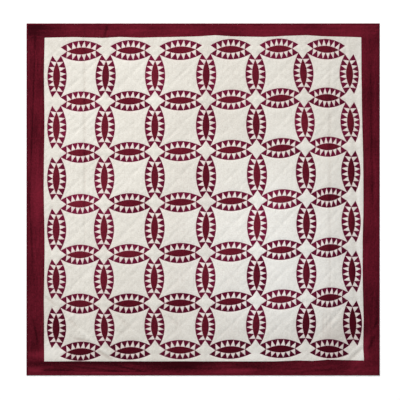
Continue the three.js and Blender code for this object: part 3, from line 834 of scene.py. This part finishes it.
def make_lofted(name, sections, smooth, material, tones):
    """A lofted piece whose faces are smooth where they start from a smooth point of the ring."""
    points, faces = lofted(sections)
    if looks_inwards(points, faces):
        faces = [face[::-1] for face in faces]
    rounded = np.append(np.tile(smooth, len(sections) - 1), [False, False])
    piece = make_piece(name, points, faces, rounded, [material])
    set_values(piece.data, "tone", "POINT", tones.ravel())
    return piece


def reach_of(side):
    """The offset of the quilt's outer edge on a side."""
    outward = SIDES[side].outward
    return outward.real * HALF_WIDTH + outward.imag * HALF_LENGTH


def strip_span(side):
    """Where a border strip starts and ends. Head and foot strips run the full width, side strips between."""
    end = HALF_WIDTH - BINDING_WIDTH
    return (-end, end) if SIDES[side].ahead == EAST else seam_span(side)


def strip_tones(side, sections):
    """How light a border strip is painted at each point: wear, painted light and shade, and that of its
    folds.
    """
    count, ring = sections.shape[:2]
    strip_lightness = STRIP_SHADE_AND_WEAR[side]
    known = np.linspace(0, 1, len(strip_lightness["tones"]))
    along = np.interp(np.linspace(0, 1, count), known, strip_lightness["tones"])[:, None]
    across = strip_lightness["inwards"] * np.linspace(-0.5, 0.5, ring)
    return along + across + folded(plan_of(sections), "tone")


def border_strip(side, material):
    """A border strip, and the line that it is quilted along with its heights."""
    edge = reach_of(side)
    sign = math.copysign(1, edge)
    bound, quilted = edge - sign * BINDING_WIDTH, edge - sign * BORDER_LINE
    start, end = strip_span(side)
    places = evenly(start, end, BORDER_STEP)[:, None]
    inner = seam_offset(side, places)
    outside = evenly(bound, quilted, BORDER_ROW)
    shares = np.linspace(0, 1, round(abs(inner.mean() - quilted) / BORDER_ROW) + 1)[1:]
    offsets = np.concatenate([outside + 0 * places, quilted + (inner - quilted) * shares], axis=1)

    def height(places, offsets):
        points = beside(side, places, offsets)
        to_line, to_bound = abs(offsets - quilted), abs(offsets - bound)
        to_inner = abs(offsets - seam_offset(side, places))
        to_end = np.minimum(abs(places - start), abs(places - end))
        if SIDES[side].ahead == EAST:
            to_bound = np.minimum(to_bound, to_end)
        else:
            to_inner = np.minimum(to_inner, to_end)
        drawn = left_by(1, to_end)
        left = left_by(drawn, to_line) * left_by(RIM_DRAWN, to_inner) * left_by(BOUND_DRAWN, to_bound)
        sway = STREAK_SWAY * np.sin(math.tau * places / STREAK_LENGTH) + edge
        streaks = STREAK_HEIGHT * np.sin(math.tau * offsets / STREAK_WIDTH + sway) * left
        return puffed(points, left, to_bound, to_line, places) + streaks

    def level(offsets, lift):
        """A line along the strip at one height."""
        return in_space(beside(side, places, offsets), lift)

    face = in_space(beside(side, places, offsets), height(places, offsets))
    turned = level(bound + sign * ALLOWANCE, TUCKED), level(inner - sign * ALLOWANCE, TUCKED)
    sections = np.concatenate([turned[0], face, turned[1], level(inner, 0), level(bound, 0)], axis=1)
    ring = np.arange(sections.shape[1])
    smooth = (ring > 0) & (ring < face.shape[1])
    tones = strip_tones(side, sections)
    piece = make_lofted(f"quilted_border_{side}", sections, smooth, material, tones)
    along = evenly(start, end, STITCH_PITCH)
    return piece, (beside(side, along, quilted), height(along, quilted))


def binding_strip(side, material):
    """The folded edge strip of a side, mitred at both ends and a little uneven."""
    edge = reach_of(side)
    sign = math.copysign(1, edge)
    half = HALF_WIDTH if SIDES[side].ahead == EAST else HALF_LENGTH
    inset, height = np.array(BINDING_SECTION).T
    shares = evenly(-1, 1, BINDING_STEP / half)[:, None]
    places = shares * (half - inset)
    swell = BINDING_UNEVEN * np.sin(math.tau * places / BINDING_WAVE + edge) * (height / height.max())
    sections = in_space(beside(side, places, edge - sign * inset), height + swell)
    smooth = np.arange(len(inset)) < len(inset) - 2
    tones = np.full(sections.shape[:2], STRIP_SHADE_AND_WEAR[side]["binding"])
    return make_lofted(f"bound_edge_{side}", sections, smooth, material, tones)


def stitches(name, lines, material):
    """Running stitches along lines of points with heights, one stitch between each point and the next."""
    middles = np.concatenate([(points[1:] + points[:-1]) / 2 for points, _ in lines])
    ahead = np.concatenate([np.diff(points) / abs(np.diff(points)) for points, _ in lines])
    heights = np.concatenate([(heights[1:] + heights[:-1]) / 2 for _, heights in lines])
    uneven = rng.uniform(-STITCH_UNEVEN, STITCH_UNEVEN, (2, len(middles)))
    middles = middles + ahead * uneven[0] * STITCH_PITCH
    length = ahead * STITCH_LENGTH / 2 * (1 + uneven[1])
    width = 1j * ahead * STITCH_WIDTH / 2
    corners = (middles - length, middles - width, middles + length, middles + width, middles, middles)
    ends, sides, top, foot = STITCH_LIFTS
    lifts = np.array([ends, sides, ends, sides, top, foot]) * STITCH_THICK
    points = np.stack([in_space(corner, heights + lift) for corner, lift in zip(corners, lifts)], axis=1)
    ring, crown, base = ((0, 1), (1, 2), (2, 3), (3, 0)), 4, 5
    one = np.array([(a, b, crown) for a, b in ring] + [(b, a, base) for a, b in ring])
    faces = (np.arange(len(middles))[:, None, None] * len(corners) + one).reshape(-1, 3)
    return make_piece(name, points.reshape(-1, 3), faces, np.ones(len(faces), dtype=bool), [material])


# Finishes

def feed(tree, target, inputs):
    """Links each named input of a node to a socket, or sets it to a value."""
    for name, value in inputs.items():
        if isinstance(value, bpy.types.NodeSocket):
            tree.links.new(value, target.inputs[name])
        else:
            target.inputs[name].default_value = value


def node(tree, kind, inputs=(), **settings):
    """A new node with its settings and inputs."""
    made = tree.nodes.new("ShaderNode" + kind)
    for name, value in settings.items():
        setattr(made, name, value)
    feed(tree, made, dict(inputs))
    return made


def new_finish(name):
    """A new material, its nodes, its shader, and the place on the piece in metres."""
    material = bpy.data.materials.new(name)
    material.use_nodes = True
    tree = material.node_tree
    return material, tree, tree.nodes["Principled BSDF"], node(tree, "TexCoord").outputs["Object"]


def noise(tree, place, sizes, detail, twist=0.0):
    """Noise between 0 and 1, with features of a size in metres along X, Y and Z, twisted or straight."""
    scaled = node(tree, "Mapping", {"Vector": place, "Scale": [1 / size for size in sizes]})
    settings = {"Vector": scaled.outputs["Vector"], "Scale": 1.0, "Detail": detail, "Distortion": twist}
    return node(tree, "TexNoise", settings).outputs["Fac"]


def summed(tree, terms, start=MID):
    """The sum of a start and of sockets, each a weight times its difference from a centre."""
    total = start - sum(weight * centre for _, weight, centre in terms)
    for socket, weight, _ in terms:
        parts = {0: socket, 1: weight, 2: total}
        total = node(tree, "Math", parts, operation="MULTIPLY_ADD").outputs["Value"]
    return total


def attribute(tree, name):
    return node(tree, "Attribute", attribute_name=name).outputs["Fac"]


def ramp(tree, shade, colours):
    """The colour for a shade from 0 to 1, on evenly spaced colours."""
    made = node(tree, "ValToRGB", {"Fac": shade})
    elements = made.color_ramp.elements
    while len(elements) < len(colours):
        elements.new(MID)
    for k, colour in enumerate(colours):
        elements[k].position = k / (len(colours) - 1)
        elements[k].color = (*colour, 1.0)
    return made.outputs["Color"]


def by_seam(tree, reach, at_seam, beyond):
    """A number that changes smoothly from its value at a seam to its value at a reach from it."""
    limits = {"Value": attribute(tree, "to_seam"), "From Max": reach, "To Min": at_seam, "To Max": beyond}
    return node(tree, "MapRange", limits, interpolation_type="SMOOTHSTEP").outputs["Result"]


def cotton(name, colours, *, cloudy=0.4, streaks=None, darkens=0.0, tone=0.0, pieced=False, bleed=None):
    """Plain woven cotton, its shade run through the colours by grain, clouds, streaks, patch and painted
    light and shade.
    """
    material, tree, shader, place = new_finish(name)
    grains = [(noise(tree, place, grain.sizes, grain.detail), grain) for grain in GRAINS]
    shades = [(made, grain.shade, MID) for made, grain in grains]
    relief = [(made, grain.relief, MID) for made, grain in grains]
    rough = [(made, grain.rough, MID) for made, grain in grains if grain.rough]
    shades.append((noise(tree, place, CLOUDS, CLOUD_DETAIL), cloudy, MID))
    if streaks:
        streak = noise(tree, place, streaks, COLOUR_STREAK_DETAIL, COLOUR_STREAK_TWIST)
        shades.append((streak, COLOUR_STREAK_SHADE, MID))
    # Painted shade: the red is painted darker beyond a reach from its lightest place, towards the foot and
    # the right
    if darkens:
        away = node(tree, "VectorMath", {0: place, 1: RED_LIT_PLACE}, operation="DISTANCE").outputs["Value"]
        beyond = node(tree, "Math", {0: away, 1: RED_LIT_REACH}, operation="MAXIMUM").outputs["Value"]
        shades.append((beyond, -darkens, RED_LIT_REACH))
    if tone:
        shades.append((attribute(tree, "tone"), tone, MID))
    if pieced:
        relief.append((by_seam(tree, DITCH_WIDTH, 0.0, 1.0), 1.0, MID))
        # Painted shade in creases and painted highlights on ridges, from the folds' tones
        shades.append((attribute(tree, "painted_shade_and_tone"), 1.0, 0.0))
    colour = ramp(tree, summed(tree, shades), colours)
    if bleed:
        share = by_seam(tree, BLEED_REACH, BLEED_SHARE, 0.0)
        stained = {"Fac": share, "Color1": colour, "Color2": (*bleed, 1.0)}
        colour = node(tree, "MixRGB", stained).outputs["Color"]
    height = {"Height": summed(tree, relief), "Distance": BUMP_DEPTH, "Strength": BUMP_STRENGTH}
    feed(tree, shader, {
        "Base Color": colour,
        "Roughness": summed(tree, rough, ROUGHNESS),
        "Normal": node(tree, "Bump", height).outputs["Normal"],
        "Specular IOR Level": SPECULAR,
        "Sheen Weight": SHEEN,
        "Sheen Roughness": SHEEN_ROUGHNESS,
    })
    return material


pale_cotton = cotton("pale_cotton", PALE_COLOURS, tone=0.12, pieced=True, bleed=BLEED_COLOUR)
red_cotton = cotton("red_cotton", RED_COLOURS, darkens=0.75, tone=0.30, pieced=True)
crimson_cotton = cotton("crimson_cotton", CRIMSON_COLOURS, darkens=0.75, tone=0.40, pieced=True)
back_cotton = cotton("back_cotton", BACK_COLOURS)
strip_cotton = {
    EAST: cotton("border_cotton_across", BORDER_COLOURS, cloudy=1.0, streaks=COLOUR_STREAKS_ACROSS, tone=1),
    SOUTH: cotton("border_cotton_down", BORDER_COLOURS, cloudy=1.0, streaks=COLOUR_STREAKS_DOWN, tone=1),
}
binding_cotton = cotton("binding_cotton", BORDER_COLOURS, tone=1)
pale_thread = cotton("pale_thread", PALE_COLOURS)
red_thread = cotton("red_thread", RED_COLOURS)


# The pieces

field, arm_lines = quilted_field([pale_cotton, red_cotton, crimson_cotton, back_cotton])
borders, bindings, border_lines = {}, {}, []
for side in SIDES:
    borders[side], border_line = border_strip(side, strip_cotton[SIDES[side].ahead])
    bindings[side] = binding_strip(side, binding_cotton)
    border_lines.append(border_line)
pale_stitches = stitches("quilting_thread_pale", arm_lines, pale_thread)
red_stitches = stitches("quilting_thread_red", border_lines, red_thread)

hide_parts("pieced_field")
for side in SIDES:
    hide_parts(f"border_{side}")
    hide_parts(f"binding_{side}")
for piece in (field, pale_stitches, red_stitches, *borders.values(), *bindings.values()):
    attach(piece, "root")


# The surroundings

def make_floor():
    half = FLOOR_SIZE / 2
    corners = [(-half, -half), (half, -half), (half, half), (-half, half)]
    mesh = bpy.data.meshes.new("floor")
    mesh.from_pydata([(x, y, -FLOOR_DROP) for x, y in corners], [], [(0, 1, 2, 3)])
    material, tree, shader, place = new_finish("floor_paper")
    feed(tree, shader, {
        "Base Color": ramp(tree, noise(tree, place, FLOOR_GRAIN, FLOOR_DETAIL), FLOOR_COLOURS),
        "Roughness": FLOOR_ROUGHNESS,
        "Specular IOR Level": 0.0,
        "Emission Color": WHITE,
        "Emission Strength": FLOOR_GLOW,
    })
    mesh.materials.append(material)
    floor = placed("floor", mesh)


def make_lamp(kind, *, name, place, aim, **settings):
    light = bpy.data.lights.new(name, kind)
    for setting, value in settings.items():
        setattr(light, setting, value)
    lamp = placed(name, light)
    lamp.location = place
    lamp.rotation_euler = (Vector(place) - Vector(aim)).to_track_quat("Z", "Y").to_euler()


def make_light():
    """Soft light from the head's left, two pools of light from above, and the room."""
    make_lamp("SUN", **SUN)
    for pool in POOLS:
        make_lamp("SPOT", spot_blend=1.0, **pool)
    world = bpy.data.worlds.new("studio")
    world.use_nodes = True
    feed(world.node_tree, world.node_tree.nodes["Background"], {"Color": WHITE, "Strength": STUDIO_LIGHT})
    bpy.context.scene.world = world
    bpy.context.scene.view_settings.view_transform = "Standard"


def make_camera():
    data = bpy.data.cameras.new("camera")
    data.lens = LENS
    data.sensor_width = SENSOR
    camera = placed("camera", data)
    camera.location = (*VIEW_MIDDLE, FRAME_WIDTH * LENS / SENSOR)
    bpy.context.scene.camera = camera


make_floor()
make_light()
make_camera()
